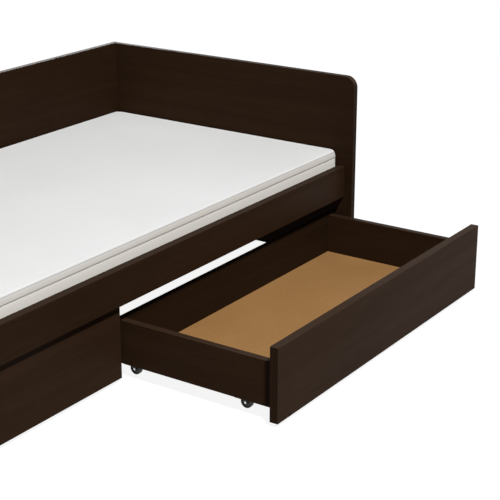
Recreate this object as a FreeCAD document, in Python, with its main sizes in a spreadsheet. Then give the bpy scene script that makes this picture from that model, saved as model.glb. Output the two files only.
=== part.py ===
import FreeCAD, Part
import os
import Sketcher

# A single daybed of laminated boards: two end panels, a tall back panel, a low front
# rail, a slatted base, a mattress, and two storage drawers that roll out on castors.
# Origin on the floor at the centre of the bed's footprint. +X along the bed towards the
# right end panel, +Y towards the back panel, +Z up. Millimetres.

doc = FreeCAD.newDocument("storage_daybed")

SIZES = [
    # mattress and the clear space round it
    ("mattress_length", 2003), ("mattress_width", 808), ("mattress_thick", 100),
    ("mattress_gap", 3.5), ("mattress_round", 14),
    # boards
    ("board", 18), ("front_board", 22), ("edge_ease", 1),
    ("panel_height", 552), ("panel_corner", 32), ("panel_proud", 26.5),
    ("back_bottom", 150), ("rail_bottom", 198), ("rail_height", 92),
    # slatted base
    ("bearer_wide", 25), ("bearer_high", 20), ("slat_wide", 75), ("slat_thick", 17),
    ("slat_end_gap", 4), ("slat_count", 13), ("tape_wide", 20), ("tape_thick", 1),
    ("tape_inset", 160),
    # what the bed stands on
    ("foot_high", 4), ("glide_across", 16), ("glide_inset", 40),
    ("centre_foot_long", 70), ("centre_foot_wide", 14),
    # drawers
    ("front_bottom", 10), ("front_top_gap", 4), ("front_end_gap", 3),
    ("front_middle_gap", 4), ("front_overhang", 16.5), ("front_setback", 10.5),
    ("stop_gap", 0.5), ("side_height", 112.5), ("side_depth", 434),
    ("bottom_thick", 3), ("bottom_lap", 10), ("bottom_gap", 0.5), ("pulled_out", 439),
    # castors
    ("wheel_radius", 15), ("wheel_wide", 11), ("wheel_round", 1.2), ("web_inset", 1.8),
    ("hub_wall", 2.55), ("rim_thick", 2.8), ("axle_radius", 2), ("axle_play", 0.05),
    ("axle_head", 0.9), ("cheek_thick", 2), ("cheek_gap", 0.6), ("eye_wall", 3),
    ("wheel_top_gap", 1), ("plate_thick", 2), ("plate_long", 36), ("plate_wide", 40),
    ("wheel_from_edge", 21), ("castor_front", 94), ("castor_back", 35),
    ("castor_screw_edge", 4.5), ("castor_screw_reach", 12),
    # fasteners
    ("cam_radius", 7.5), ("cam_deep", 12.5), ("cam_from_end", 34), ("cam_slot", 1.6),
    ("bolt_radius", 3), ("bolt_bite", 11), ("rail_cam_apart", 22),
    ("back_cam_inset", 70), ("drawer_cam_inset", 28),
    ("screw_radius", 2), ("screw_cover", 3), ("screw_head", 4), ("screw_head_high", 2.4),
    ("bearer_screw_inset", 60), ("bearer_screw_count", 6),
    ("confirmat_radius", 2.5), ("confirmat_long", 50), ("confirmat_head", 4.5),
    ("confirmat_inset", 26), ("castor_screw_radius", 1.75), ("castor_screw_long", 16),
    ("castor_screw_head", 3.4), ("castor_screw_head_high", 1.5),
    ("nail_radius", 0.8), ("nail_long", 18), ("nail_head", 2), ("nail_head_high", 0.6),
    ("nail_inset", 4), ("nail_gap", 20),
]
VALUES = dict(SIZES)
sheet = doc.addObject("Spreadsheet::Sheet", "Dims")
for row, (alias, value) in enumerate(SIZES, start=1):
    sheet.set(f"A{row}", alias)
    sheet.set(f"B{row}", str(value))
    sheet.setAlias(f"B{row}", alias)
doc.recompute()


def size(words):
    """An expression in which each size's own name stands for its cell."""
    out = []
    for word in words.replace("(", " ( ").replace(")", " ) ").split():
        out.append(f"Dims.{word}" if word in VALUES else word)
    return "(" + " ".join(out) + ")"


# Places that several pieces share, each worked out from the sizes.
INNER_LONG = size("mattress_length + 2 * mattress_gap")
INNER_WIDE = size("mattress_width + 2 * mattress_gap")
DEPTH = f"({INNER_WIDE} + " + size("board + front_board + panel_proud") + ")"
END_INNER = f"({INNER_LONG} / 2)"
PANEL_FRONT = f"(-{DEPTH} / 2)"
BACK_INNER = f"({DEPTH} / 2 - Dims.board)"
RAIL_FRONT = f"({PANEL_FRONT} + Dims.panel_proud)"
RAIL_INNER = f"({RAIL_FRONT} + Dims.front_board)"
BEARER_TOP = size("rail_bottom + bearer_high")
SLAT_TOP = f"({BEARER_TOP} + Dims.slat_thick)"
FRONT_LONG = f"({END_INNER} - Dims.front_end_gap - Dims.front_middle_gap / 2)"
BOX_LONG = f"({FRONT_LONG} - 2 * Dims.front_overhang)"
BOX_NEAR_MIDDLE = size("front_middle_gap / 2 + front_overhang")
CLOSED_FACE = f"({RAIL_FRONT} + Dims.front_setback)"
CLOSED_BACK = f"({CLOSED_FACE} + Dims.front_board)"
FRONT_HIGH = size("rail_bottom - front_top_gap - front_bottom")
PLATE_LOW = size("2 * wheel_radius + wheel_top_gap")
BOTTOM_LOW = f"({PLATE_LOW} + Dims.plate_thick)"
SIDE_LOW = f"({BOTTOM_LOW} + Dims.bottom_thick)"
BOTTOM_IN = size("board - bottom_lap")
WHEEL_IN = f"({BOTTOM_IN} + Dims.wheel_from_edge)"

nodes = []


def bind(target, **expressions):
    for name, expression in expressions.items():
        target.setExpression(name, expression)


def place(target, x, y, z):
    for axis, expression in zip("xyz", (x, y, z)):
        target.setExpression(f"Placement.Base.{axis}", expression)


def keep(target, label):
    """Name a finished sub-part: the label is its node and its file."""
    target.Label = label
    nodes.append(target)
    return target


def origin_plane(body, role):
    return next(f for f in body.Origin.OriginFeatures if f.Role == role)


def new_sketch(body, role, name):
    sketch = body.newObject("Sketcher::SketchObject", name)
    sketch.AttachmentSupport = [(origin_plane(body, role), "")]
    sketch.MapMode = "FlatFace"
    return sketch


def rectangle(sketch, across, up):
    """A rectangle from the sketch's origin, its two sides bound to expressions."""
    corners = [FreeCAD.Vector(*p) for p in ((0, 0, 0), (10, 0, 0), (10, 10, 0), (0, 10, 0))]
    for i in range(4):
        sketch.addGeometry(Part.LineSegment(corners[i], corners[(i + 1) % 4]), False)
    for i in range(4):
        sketch.addConstraint(Sketcher.Constraint("Coincident", i, 2, (i + 1) % 4, 1))
        sketch.addConstraint(Sketcher.Constraint("Horizontal" if i % 2 == 0 else "Vertical", i))
    sketch.addConstraint(Sketcher.Constraint("Coincident", 0, 1, -1, 1))
    width = sketch.addConstraint(Sketcher.Constraint("Distance", 0, 10.0))
    height = sketch.addConstraint(Sketcher.Constraint("Distance", 1, 10.0))
    sketch.setExpression(f"Constraints[{width}]", across)
    sketch.setExpression(f"Constraints[{height}]", up)


def along(edge, axis):
    direction = edge.tangentAt(edge.FirstParameter)
    return abs(direction[axis]) > 0.99


def round_edges(body, feature, wanted, radius):
    """Round the edges of a feature that pass the test wanted(edge)."""
    doc.recompute()
    names = [f"Edge{i}" for i, e in enumerate(feature.Shape.Edges, start=1) if wanted(e)]
    fillet = body.newObject("PartDesign::Fillet", "rounding")
    fillet.Base = (feature, names)
    fillet.setExpression("Radius", radius)
    doc.recompute()
    return fillet


# The plane that a board's outline is drawn on, by the axis that the board is thin along.
FACE = {"x": "YZ_Plane", "y": "XZ_Plane", "z": "XY_Plane"}


def board(label, thin, across, up, thick, corner, eased="all"):
    """A board with its low corner at `corner`, thin along one axis, its edges eased."""
    body = doc.addObject("PartDesign::Body", label + "_board")
    outline = new_sketch(body, FACE[thin], "outline")
    rectangle(outline, across, up)
    pad = body.newObject("PartDesign::Pad", "thickness")
    pad.Profile = outline
    pad.setExpression("Length", thick)
    pad.Reversed = thin == "y"
    if eased == "all":
        round_edges(body, pad, lambda e: True, "Dims.edge_ease")
    elif eased in ("x", "y", "z"):
        round_edges(body, pad, lambda e: along(e, "xyz".index(eased)), "Dims.edge_ease")
    place(body, *corner)
    return body


# Turns that send a cylinder's own axis along +X, -X, +Y, -Y, +Z or -Z.
TURN = {
    "+x": FreeCAD.Rotation(FreeCAD.Vector(0, 1, 0), 90),
    "-x": FreeCAD.Rotation(FreeCAD.Vector(0, 1, 0), -90),
    "+y": FreeCAD.Rotation(FreeCAD.Vector(1, 0, 0), -90),
    "-y": FreeCAD.Rotation(FreeCAD.Vector(1, 0, 0), 90),
    "+z": FreeCAD.Rotation(),
    "-z": FreeCAD.Rotation(FreeCAD.Vector(1, 0, 0), 180),
}


def rod(name, radius, length, way, start):
    """A round rod or drilled hole that starts at `start` and runs the way given."""
    cylinder = doc.addObject("Part::Cylinder", name)
    cylinder.Placement = FreeCAD.Placement(FreeCAD.Vector(), TURN[way])
    bind(cylinder, Radius=radius, Height=length)
    place(cylinder, *start)
    return cylinder


def group(name, pieces):
    """Several separate solids that are one node."""
    compound = doc.addObject("Part::Compound", name)
    compound.Links = pieces
    return compound


def drill(blank, holes):
    """A board with holes taken out of it."""
    if not holes:
        return blank
    cut = doc.addObject("Part::Cut", blank.Label + "_drilled")
    cut.Base = blank
    cut.Tool = group(blank.Label + "_holes", holes) if len(holes) > 1 else holes[0]
    return cut


def shift(point, way, distance):
    """A point moved along an axis by a distance, as expressions."""
    sign = way[0]
    index = "xyz".index(way[1])
    moved = list(point)
    moved[index] = f"({point[index]} {sign} {distance})"
    return moved


class Screw:
    """A countersunk fastener, by the sizes of its shank and head."""

    def __init__(self, name, radius, length, head, head_high):
        self.name = name
        self.radius = radius
        self.length = length
        self.head = head
        self.head_high = head_high

    def solid(self, way, start):
        """Its shank and cone head as one solid, its head flush at start."""
        shank = rod(self.name + "_shank", self.radius, self.length, way, start)
        head = doc.addObject("Part::Cone", self.name + "_head")
        head.Placement = FreeCAD.Placement(FreeCAD.Vector(), TURN[way])
        bind(head, Radius1=self.head, Radius2=self.radius, Height=self.head_high)
        place(head, *start)
        fused = doc.addObject("Part::Fuse", self.name)
        fused.Base = shank
        fused.Tool = head
        return fused


# Long enough for a bearer and most of a board behind it.
WOOD_SCREW = Screw("wood_screw", "Dims.screw_radius", size("bearer_wide + board - screw_cover"),
                   "Dims.screw_head", "Dims.screw_head_high")
CONFIRMAT = Screw("confirmat", "Dims.confirmat_radius", "Dims.confirmat_long",
                  "Dims.confirmat_head", "Dims.screw_head_high")
CASTOR_SCREW = Screw("castor_screw", "Dims.castor_screw_radius", "Dims.castor_screw_long",
                     "Dims.castor_screw_head", "Dims.castor_screw_head_high")
NAIL = Screw("nail", "Dims.nail_radius", "Dims.nail_long", "Dims.nail_head",
             "Dims.nail_head_high")


def cam(face, way, slot_along):
    """A cam lock that fills its pocket, with a driver slot in its face."""
    body = rod("cam_body", "Dims.cam_radius", "Dims.cam_deep", way, face)
    slot = doc.addObject("Part::Box", "cam_slot")
    thin, long = "Dims.cam_slot", "Dims.cam_radius"
    spans = {"x": thin, "y": thin, "z": thin}
    spans[slot_along] = long
    bind(slot, Length=spans["x"], Width=spans["y"], Height=spans["z"])
    centre = []
    for axis, expression in zip("xyz", face):
        if axis == way[1]:
            centre.append(expression if way[0] == "+" else f"({expression} - {thin})")
        else:
            centre.append(f"({expression} - {spans[axis]} / 2)")
    place(slot, *centre)
    lock = doc.addObject("Part::Cut", "cam_lock")
    lock.Base = body
    lock.Tool = slot
    return lock


class CamJoint:
    """A cam lock in one board's face, and the bolt from it into the next board."""

    def __init__(self, face, press_way, end_way):
        self.face = face            # centre of the pocket's mouth, on the board's face
        self.press_way = press_way  # the way the pocket is drilled
        self.end_way = end_way      # the way the bolt runs, out through the board's end
        self.axis_point = shift(face, press_way, "Dims.cam_deep / 2")

    def pocket(self):
        return rod("cam_pocket", "Dims.cam_radius", "Dims.cam_deep", self.press_way, self.face)

    def bolt(self, name="cam_bolt"):
        start = shift(self.axis_point, self.end_way, "Dims.cam_radius")
        length = "(Dims.cam_from_end - Dims.cam_radius + Dims.bolt_bite)"
        return rod(name, "Dims.bolt_radius", length, self.end_way, start)

    def lock(self, slot_along):
        return cam(self.face, self.press_way, slot_along)


# ---------------------------------------------------------------- frame joints
def mirrored(sign):
    """The end panel's inner face on one side, and the way that points to it."""
    return (END_INNER, "+x") if sign > 0 else (f"(-{END_INNER})", "-x")


# The rail's cams sit either side of the middle of its face above the slats.
RAIL_CAM_MIDDLE = size("rail_bottom + (rail_height + bearer_high + slat_thick) / 2")
rail_cams = []
back_cams = []
for sign in (1, -1):
    inner, outward = mirrored(sign)
    towards_middle = "-" if sign > 0 else "+"
    cam_x = f"({inner} {towards_middle} Dims.cam_from_end)"
    for side in ("-", "+"):
        height = f"({RAIL_CAM_MIDDLE} {side} Dims.rail_cam_apart / 2)"
        rail_cams.append(CamJoint([cam_x, RAIL_INNER, height], "-y", outward))
    for height in (size("back_bottom + back_cam_inset"), size("panel_height - back_cam_inset")):
        back_cams.append(CamJoint([cam_x, f"({DEPTH} / 2)", height], "-y", outward))
frame_cams = rail_cams + back_cams

CENTRE_FRONT = f"({CLOSED_BACK} + Dims.stop_gap)"
LAP_FRONT = f"(({CENTRE_FRONT} + {RAIL_INNER} + Dims.bearer_wide) / 2)"
LAP_BACK = f"({BACK_INNER} - Dims.bearer_wide / 2)"
bearer_screws = []
for bearer_face, way in ((f"({RAIL_INNER} + Dims.bearer_wide)", "-y"),
                         (f"({BACK_INNER} - Dims.bearer_wide)", "+y")):
    for i in range(VALUES["bearer_screw_count"]):
        step = f"({INNER_LONG} - 2 * Dims.bearer_screw_inset) / (Dims.bearer_screw_count - 1)"
        x = f"(-{INNER_LONG} / 2 + Dims.bearer_screw_inset + {i} * {step})"
        bearer_screws.append((way, [x, bearer_face, size("rail_bottom + bearer_high / 2")]))
top_screws = [("-z", ["0", LAP_FRONT, BEARER_TOP]), ("-z", ["0", LAP_BACK, BEARER_TOP])]
panel_screw = ("-y", ["0", f"({DEPTH} / 2)", size("(back_bottom + rail_bottom) / 2")])
frame_screws = bearer_screws + top_screws + [panel_screw]


def holes_of(screws):
    return [WOOD_SCREW.solid(way, start) for way, start in screws]


# ---------------------------------------------------------------- bed frame
def end_panel(label, sign):
    """Tall end board whose top front corner is rounded."""
    inner, _ = mirrored(sign)
    low_x = inner if sign > 0 else f"({inner} - Dims.board)"
    body = doc.addObject("PartDesign::Body", label + "_board")
    outline = new_sketch(body, "YZ_Plane", "outline")
    rectangle(outline, DEPTH, size("panel_height - foot_high"))
    pad = body.newObject("PartDesign::Pad", "thickness")
    pad.Profile = outline
    pad.setExpression("Length", "Dims.board")
    doc.recompute()
    top = pad.Shape.BoundBox.ZMax

    def top_front(edge):
        middle = edge.CenterOfMass
        return along(edge, 0) and middle.y < 1 and middle.z > top - 1

    corner = round_edges(body, pad, top_front, "Dims.panel_corner")
    round_edges(body, corner, lambda e: not along(e, 0), "Dims.edge_ease")
    place(body, low_x, PANEL_FRONT, "Dims.foot_high")
    joints = frame_cams[:2] + back_cams[:2] if sign > 0 else rail_cams[2:] + back_cams[2:]
    return keep(drill(body, [joint.bolt("bolt_hole") for joint in joints]), label)


end_panel("end_panel_right", 1)
end_panel("end_panel_left", -1)

back_blank = board("back_panel", "y", INNER_LONG, size("panel_height - back_bottom"),
                   "Dims.board", (f"(-{INNER_LONG} / 2)", BACK_INNER, "Dims.back_bottom"), "x")
back_holes = [joint.pocket() for joint in back_cams]
back_holes += [joint.bolt("bolt_hole") for joint in back_cams]
back_holes += holes_of([screw for screw in bearer_screws if screw[0] == "+y"] + [panel_screw])
keep(drill(back_blank, back_holes), "back_panel")

rail_blank = board("front_rail", "y", INNER_LONG, "Dims.rail_height", "Dims.front_board",
                   (f"(-{INNER_LONG} / 2)", RAIL_FRONT, "Dims.rail_bottom"), "x")
rail_holes = [joint.pocket() for joint in rail_cams]
rail_holes += [joint.bolt("bolt_hole") for joint in rail_cams]
rail_holes += holes_of([screw for screw in bearer_screws if screw[0] == "-y"])
keep(drill(rail_blank, rail_holes), "front_rail")

for label, low_y, way, top_screw in (("bearer_front", RAIL_INNER, "-y", top_screws[0]),
                                     ("bearer_back", f"({BACK_INNER} - Dims.bearer_wide)", "+y",
                                      top_screws[1])):
    blank = board(label, "z", INNER_LONG, "Dims.bearer_wide", "Dims.bearer_high",
                  (f"(-{INNER_LONG} / 2)", low_y, "Dims.rail_bottom"), None)
    through = [screw for screw in bearer_screws if screw[0] == way]
    keep(drill(blank, holes_of(through + [top_screw])), label)

centre_blank = board("centre_panel", "x", f"({BACK_INNER} - {CENTRE_FRONT})",
                     size("rail_bottom - foot_high"), "Dims.board",
                     ("(-Dims.board / 2)", CENTRE_FRONT, "Dims.foot_high"), None)
keep(drill(centre_blank, holes_of(top_screws + [panel_screw])), "centre_panel")

# Slats lie across the two bearers, evenly spaced, joined by two tapes beneath.
SLAT_STEP = f"(({INNER_LONG} - Dims.slat_wide) / Dims.slat_count)"
for i in range(VALUES["slat_count"]):
    middle = f"(({i} - (Dims.slat_count - 1) / 2) * {SLAT_STEP})"
    slat = board(f"slat_{i + 1:02d}", "z", "Dims.slat_wide",
                 f"({INNER_WIDE} - 2 * Dims.slat_end_gap)", "Dims.slat_thick",
                 (f"({middle} - Dims.slat_wide / 2)", f"({RAIL_INNER} + Dims.slat_end_gap)",
                  BEARER_TOP), "y")
    keep(slat, f"slat_{i + 1:02d}")

TAPE_LONG = f"((Dims.slat_count - 1) * {SLAT_STEP} + Dims.slat_wide)"
tapes = []
for side in (f"({RAIL_INNER} + Dims.tape_inset)",
             f"({BACK_INNER} - Dims.tape_inset - Dims.tape_wide)"):
    tape = doc.addObject("Part::Box", "slat_tape")
    bind(tape, Length=TAPE_LONG, Width="Dims.tape_wide", Height="Dims.tape_thick")
    place(tape, f"(-{TAPE_LONG} / 2)", side, f"({BEARER_TOP} - Dims.tape_thick)")
    tapes.append(tape)
keep(group("tapes", tapes), "slat_tapes")

# Soft block that lies on the slats.
mattress = doc.addObject("PartDesign::Body", "mattress_block")
footprint = new_sketch(mattress, "XY_Plane", "footprint")
rectangle(footprint, "Dims.mattress_length", "Dims.mattress_width")
foam = mattress.newObject("PartDesign::Pad", "foam")
foam.Profile = footprint
foam.setExpression("Length", "Dims.mattress_thick")
round_edges(mattress, foam, lambda e: True, "Dims.mattress_round")
place(mattress, "(-Dims.mattress_length / 2)", f"({RAIL_INNER} + Dims.mattress_gap)", SLAT_TOP)
keep(mattress, "mattress")

# Feet: round glides under the boards' corners, a long one under the bed's middle.
glides = []
for x in (f"({END_INNER} + Dims.board / 2)", f"(-{END_INNER} - Dims.board / 2)"):
    for y in (f"({PANEL_FRONT} + Dims.glide_inset)", f"(-{PANEL_FRONT} - Dims.glide_inset)"):
        glides.append(rod("glide", "Dims.glide_across / 2", "Dims.foot_high", "+z", [x, y, "0"]))
for y in (f"({CENTRE_FRONT} + Dims.glide_inset)", f"({BACK_INNER} - Dims.glide_inset)"):
    glides.append(rod("glide", "Dims.glide_across / 2", "Dims.foot_high", "+z", ["0", y, "0"]))
keep(group("glides", glides), "panel_glides")

centre_foot = board("centre_foot", "z", "Dims.centre_foot_wide", "Dims.centre_foot_long",
                    "Dims.foot_high", ("(-Dims.centre_foot_wide / 2)",
                                       "(-Dims.centre_foot_long / 2)", "0"), "z")
keep(centre_foot, "centre_foot")

keep(group("locks", [joint.lock("x") for joint in frame_cams]), "frame_cam_locks")
keep(group("bolts", [joint.bolt() for joint in frame_cams]), "frame_cam_bolts")
keep(group("screws", [WOOD_SCREW.solid(way, start) for way, start in frame_screws]),
     "frame_screws")


# ---------------------------------------------------------------- castor pieces
def castor_wheel(x, y):
    """A wheel that turns about X: hub, thin web, round-edged rim, open bore."""
    body = doc.addObject("PartDesign::Body", "castor_wheel")
    half = new_sketch(body, "XY_Plane", "half_section")
    bore = size("axle_radius + axle_play")
    hub = f"({bore} + Dims.hub_wall)"
    rim = size("wheel_radius - rim_thick")
    tread = "Dims.wheel_radius"
    wide = "Dims.wheel_wide"
    near_web = "Dims.web_inset"
    far_web = size("wheel_wide - web_inset")
    corners = [("0", bore), (wide, bore), (wide, hub), (far_web, hub), (far_web, rim),
               (wide, rim), (wide, tread), ("0", tread), ("0", rim), (near_web, rim),
               (near_web, hub), ("0", hub)]
    seeds = [(0, 2), (11, 2), (11, 4.6), (9, 4.6), (9, 12), (11, 12), (11, 15), (0, 15),
             (0, 12), (2, 12), (2, 4.6), (0, 4.6)]
    count = len(corners)
    for i in range(count):
        start = FreeCAD.Vector(*seeds[i], 0)
        end = FreeCAD.Vector(*seeds[(i + 1) % count], 0)
        half.addGeometry(Part.LineSegment(start, end), False)
    for i in range(count):
        half.addConstraint(Sketcher.Constraint("Coincident", i, 2, (i + 1) % count, 1))
    for i, (across, out) in enumerate(corners):
        if across == "0":
            half.addConstraint(Sketcher.Constraint("PointOnObject", i, 1, -2))
        else:
            fixed = half.addConstraint(Sketcher.Constraint("DistanceX", -1, 1, i, 1, seeds[i][0]))
            half.setExpression(f"Constraints[{fixed}]", across)
        fixed = half.addConstraint(Sketcher.Constraint("DistanceY", -1, 1, i, 1, seeds[i][1]))
        half.setExpression(f"Constraints[{fixed}]", out)
    turned = body.newObject("PartDesign::Revolution", "turned")
    turned.Profile = half
    turned.ReferenceAxis = (half, ["H_Axis"])
    turned.Angle = 360
    doc.recompute()
    outer = VALUES["wheel_radius"]

    def tread_edge(edge):
        circle = getattr(edge, "Curve", None)
        return hasattr(circle, "Radius") and circle.Radius > outer - 0.01

    round_edges(body, turned, tread_edge, "Dims.wheel_round")
    place(body, x, y, "Dims.wheel_radius")
    return body


def castor_housing(outer_face, way, y, screws):
    """A screw-on plate with two cheeks that hold the axle."""
    sign = way[0]
    plate = doc.addObject("Part::Box", "castor_plate")
    bind(plate, Length="Dims.plate_wide", Width="Dims.plate_long", Height="Dims.plate_thick")
    near = f"({outer_face} {sign} {BOTTOM_IN})"
    low_x = near if sign == "+" else f"({near} - Dims.plate_wide)"
    place(plate, low_x, f"({y} - Dims.plate_long / 2)", PLATE_LOW)
    pieces = [plate]
    cheek_from = f"({WHEEL_IN} - Dims.cheek_gap - Dims.cheek_thick)"
    cheek_far = f"({WHEEL_IN} + Dims.wheel_wide + Dims.cheek_gap)"
    eye_radius = size("axle_radius + eye_wall")
    for reach in (cheek_from, cheek_far):
        low = f"({outer_face} {sign} {reach})"
        if sign == "-":
            low = f"({low} - Dims.cheek_thick)"
        web = doc.addObject("Part::Box", "castor_cheek")
        bind(web, Length="Dims.cheek_thick", Width=f"2 * {eye_radius}",
             Height=f"({PLATE_LOW} - Dims.wheel_radius)")
        place(web, low, f"({y} - {eye_radius})", "Dims.wheel_radius")
        eye = rod("castor_eye", eye_radius, "Dims.cheek_thick", "+x",
                  [low, y, "Dims.wheel_radius"])
        pieces += [web, eye]
    fused = doc.addObject("Part::MultiFuse", "castor_bracket")
    fused.Shapes = pieces
    hole_start = [f"({outer_face} {sign} {cheek_from})", y, "Dims.wheel_radius"]
    hole_long = size("wheel_wide + 2 * cheek_gap + 2 * cheek_thick")
    axle_hole = rod("axle_hole", "Dims.axle_radius", hole_long, way, hole_start)
    holes = [axle_hole] + [CASTOR_SCREW.solid("+z", start) for start in screws]
    return drill(fused, holes)


def castor_axle(outer_face, way, y):
    """A plain pin with a flat head at each end, just outside the cheeks."""
    sign = way[0]
    reach = f"({WHEEL_IN} - Dims.cheek_gap - Dims.cheek_thick - Dims.axle_head)"
    start = [f"({outer_face} {sign} {reach})", y, "Dims.wheel_radius"]
    clear = size("wheel_wide + 2 * cheek_gap + 2 * cheek_thick")
    head_radius = size("axle_radius + axle_head")
    pin = rod("axle_pin", "Dims.axle_radius", f"({clear} + 2 * Dims.axle_head)", way, start)
    near_head = rod("axle_head", head_radius, "Dims.axle_head", way, start)
    far = shift(start, way, f"({clear} + Dims.axle_head)")
    far_head = rod("axle_head", head_radius, "Dims.axle_head", way, far)
    fused = doc.addObject("Part::MultiFuse", "castor_axle")
    fused.Shapes = [pin, near_head, far_head]
    return fused


# ---------------------------------------------------------------- drawers
def drawer(name, sign, pulled):
    """One drawer on four castors. `pulled` is how far it stands out of the bed."""
    face_y = f"({CLOSED_FACE} - {pulled})"
    box_front = f"({face_y} + Dims.front_board)"
    side_back = f"({box_front} + Dims.side_depth)"
    middle_gap = "Dims.front_middle_gap / 2"
    front_low = f"({middle_gap})" if sign > 0 else f"(-{middle_gap} - {FRONT_LONG})"
    left = BOX_NEAR_MIDDLE if sign > 0 else f"(-{BOX_NEAR_MIDDLE} - {BOX_LONG})"
    right = f"({left} + {BOX_LONG})"
    side_top = f"({SIDE_LOW} + Dims.side_height)"

    # Cam locks in the sides' inner faces, bolted into the front.
    cams = []
    for face_x, way in ((f"({left} + Dims.board)", "-x"), (f"({right} - Dims.board)", "+x")):
        for height in (f"({SIDE_LOW} + Dims.drawer_cam_inset)",
                       f"({side_top} - Dims.drawer_cam_inset)"):
            start = [face_x, f"({box_front} + Dims.cam_from_end)", height]
            cams.append(CamJoint(start, way, "-y"))
    # Long screws through the back into the sides' ends.
    back_face = f"({side_back} + Dims.board)"
    back_screws = []
    for x in (f"({left} + Dims.board / 2)", f"({right} - Dims.board / 2)"):
        for height in (f"({SIDE_LOW} + Dims.confirmat_inset)",
                       f"({side_top} - Dims.confirmat_inset)"):
            back_screws.append(("-y", [x, back_face, height]))
    # Castors, two at each side, and the screws that hold their plates.
    wheels_y = {"front": f"({box_front} + Dims.castor_front)",
                "back": f"({back_face} - Dims.castor_back)"}
    outer = {"left": (left, "+x"), "right": (right, "-x")}
    castor_screws = {}
    for end, y in wheels_y.items():
        for side, (face_x, way) in outer.items():
            x = f"({face_x} {way[0]} ({BOTTOM_IN} + Dims.castor_screw_edge))"
            castor_screws[end, side] = [
                [x, f"({y} - Dims.castor_screw_reach)", PLATE_LOW],
                [x, f"({y} + Dims.castor_screw_reach)", PLATE_LOW]]
    # Nails up through the bottom into the box.
    nails = {"left": [], "right": [], "back": []}
    nail_from = f"({BOTTOM_IN} + Dims.nail_inset)"
    plate_clear = size("plate_long / 2 + nail_gap")
    first_nail = f"({wheels_y['front']} + {plate_clear})"
    last_nail = f"({wheels_y['back']} - {plate_clear})"
    for y in (first_nail, f"(({first_nail} + {last_nail}) / 2)", last_nail):
        nails["left"].append([f"({left} + {nail_from})", y, BOTTOM_LOW])
        nails["right"].append([f"({right} - {nail_from})", y, BOTTOM_LOW])
    for share in ("1 / 5", "2 / 5", "3 / 5", "4 / 5"):
        nails["back"].append([f"({left} + {BOX_LONG} * {share})",
                              f"({back_face} - {nail_from})", BOTTOM_LOW])

    front = board(name + "_front", "y", FRONT_LONG, FRONT_HIGH, "Dims.front_board",
                  (front_low, face_y, "Dims.front_bottom"))
    keep(drill(front, [joint.bolt("bolt_hole") for joint in cams]), name + "_front")

    for side, low_x, its_cams, x_screws in (
            ("left", left, cams[:2], back_screws[:2]),
            ("right", f"({right} - Dims.board)", cams[2:], back_screws[2:])):
        blank = board(f"{name}_side_{side}", "x", "Dims.side_depth", "Dims.side_height",
                      "Dims.board", (low_x, box_front, SIDE_LOW), "y")
        holes = [joint.pocket() for joint in its_cams]
        holes += [joint.bolt("bolt_hole") for joint in its_cams]
        holes += [CONFIRMAT.solid(way, start) for way, start in x_screws]
        holes += [CASTOR_SCREW.solid("+z", start) for end in wheels_y
                  for start in castor_screws[end, side]]
        holes += [NAIL.solid("+z", start) for start in nails[side]]
        keep(drill(blank, holes), f"{name}_side_{side}")

    back = board(name + "_back", "y", BOX_LONG, "Dims.side_height", "Dims.board",
                 (left, side_back, SIDE_LOW), "x")
    holes = [CONFIRMAT.solid(way, start) for way, start in back_screws]
    holes += [NAIL.solid("+z", start) for start in nails["back"]]
    keep(drill(back, holes), name + "_back")

    bottom = board(name + "_bottom", "z", f"({BOX_LONG} - 2 * {BOTTOM_IN})",
                   size("side_depth + bottom_lap - bottom_gap"), "Dims.bottom_thick",
                   (f"({left} + {BOTTOM_IN})", f"({box_front} + Dims.bottom_gap)", BOTTOM_LOW),
                   None)
    all_castor_screws = [start for pair in castor_screws.values() for start in pair]
    all_nails = [start for side in nails.values() for start in side]
    holes = [CASTOR_SCREW.solid("+z", start) for start in all_castor_screws]
    holes += [NAIL.solid("+z", start) for start in all_nails]
    keep(drill(bottom, holes), name + "_bottom")

    housings = []
    axles = []
    for end, y in wheels_y.items():
        for side, (face_x, way) in outer.items():
            housings.append(castor_housing(face_x, way, y, castor_screws[end, side]))
            axles.append(castor_axle(face_x, way, y))
            inset = f"({face_x} {way[0]} {WHEEL_IN})"
            low_x = inset if way == "+x" else f"({inset} - Dims.wheel_wide)"
            keep(castor_wheel(low_x, y), f"{name}_wheel_{end}_{side}")
    keep(group("housings", housings), name + "_castor_housings")
    keep(group("axles", axles), name + "_castor_axles")
    keep(group("castor_screws", [CASTOR_SCREW.solid("+z", s) for s in all_castor_screws]),
         name + "_castor_screws")
    keep(group("nails", [NAIL.solid("+z", start) for start in all_nails]),
         name + "_bottom_nails")
    keep(group("locks", [joint.lock("z") for joint in cams]), name + "_cam_locks")
    keep(group("bolts", [joint.bolt() for joint in cams]), name + "_cam_bolts")
    keep(group("back_screws", [CONFIRMAT.solid(way, start) for way, start in back_screws]),
         name + "_back_screws")


drawer("right_drawer", 1, "Dims.pulled_out")
drawer("left_drawer", -1, "0")

# ---------------------------------------------------------------- check and write
doc.recompute()
for thing in doc.Objects:
    if "Invalid" in thing.State or "Error" in thing.State:
        raise RuntimeError(f"{thing.Label} failed: {thing.State}")
for node in nodes:
    if node.Shape.isNull() or not node.Shape.isValid() or not node.Shape.Solids:
        raise RuntimeError(f"{node.Label} has no valid solid")

os.makedirs("parts", exist_ok=True)
for node in nodes:
    node.Shape.exportStep(f"parts/{node.Label}.step")
print(len(nodes), "sub-parts written")
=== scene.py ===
import math

import bmesh
import bpy
from bpy.props import FloatProperty, FloatVectorProperty, PointerProperty
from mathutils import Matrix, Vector, noise


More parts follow.
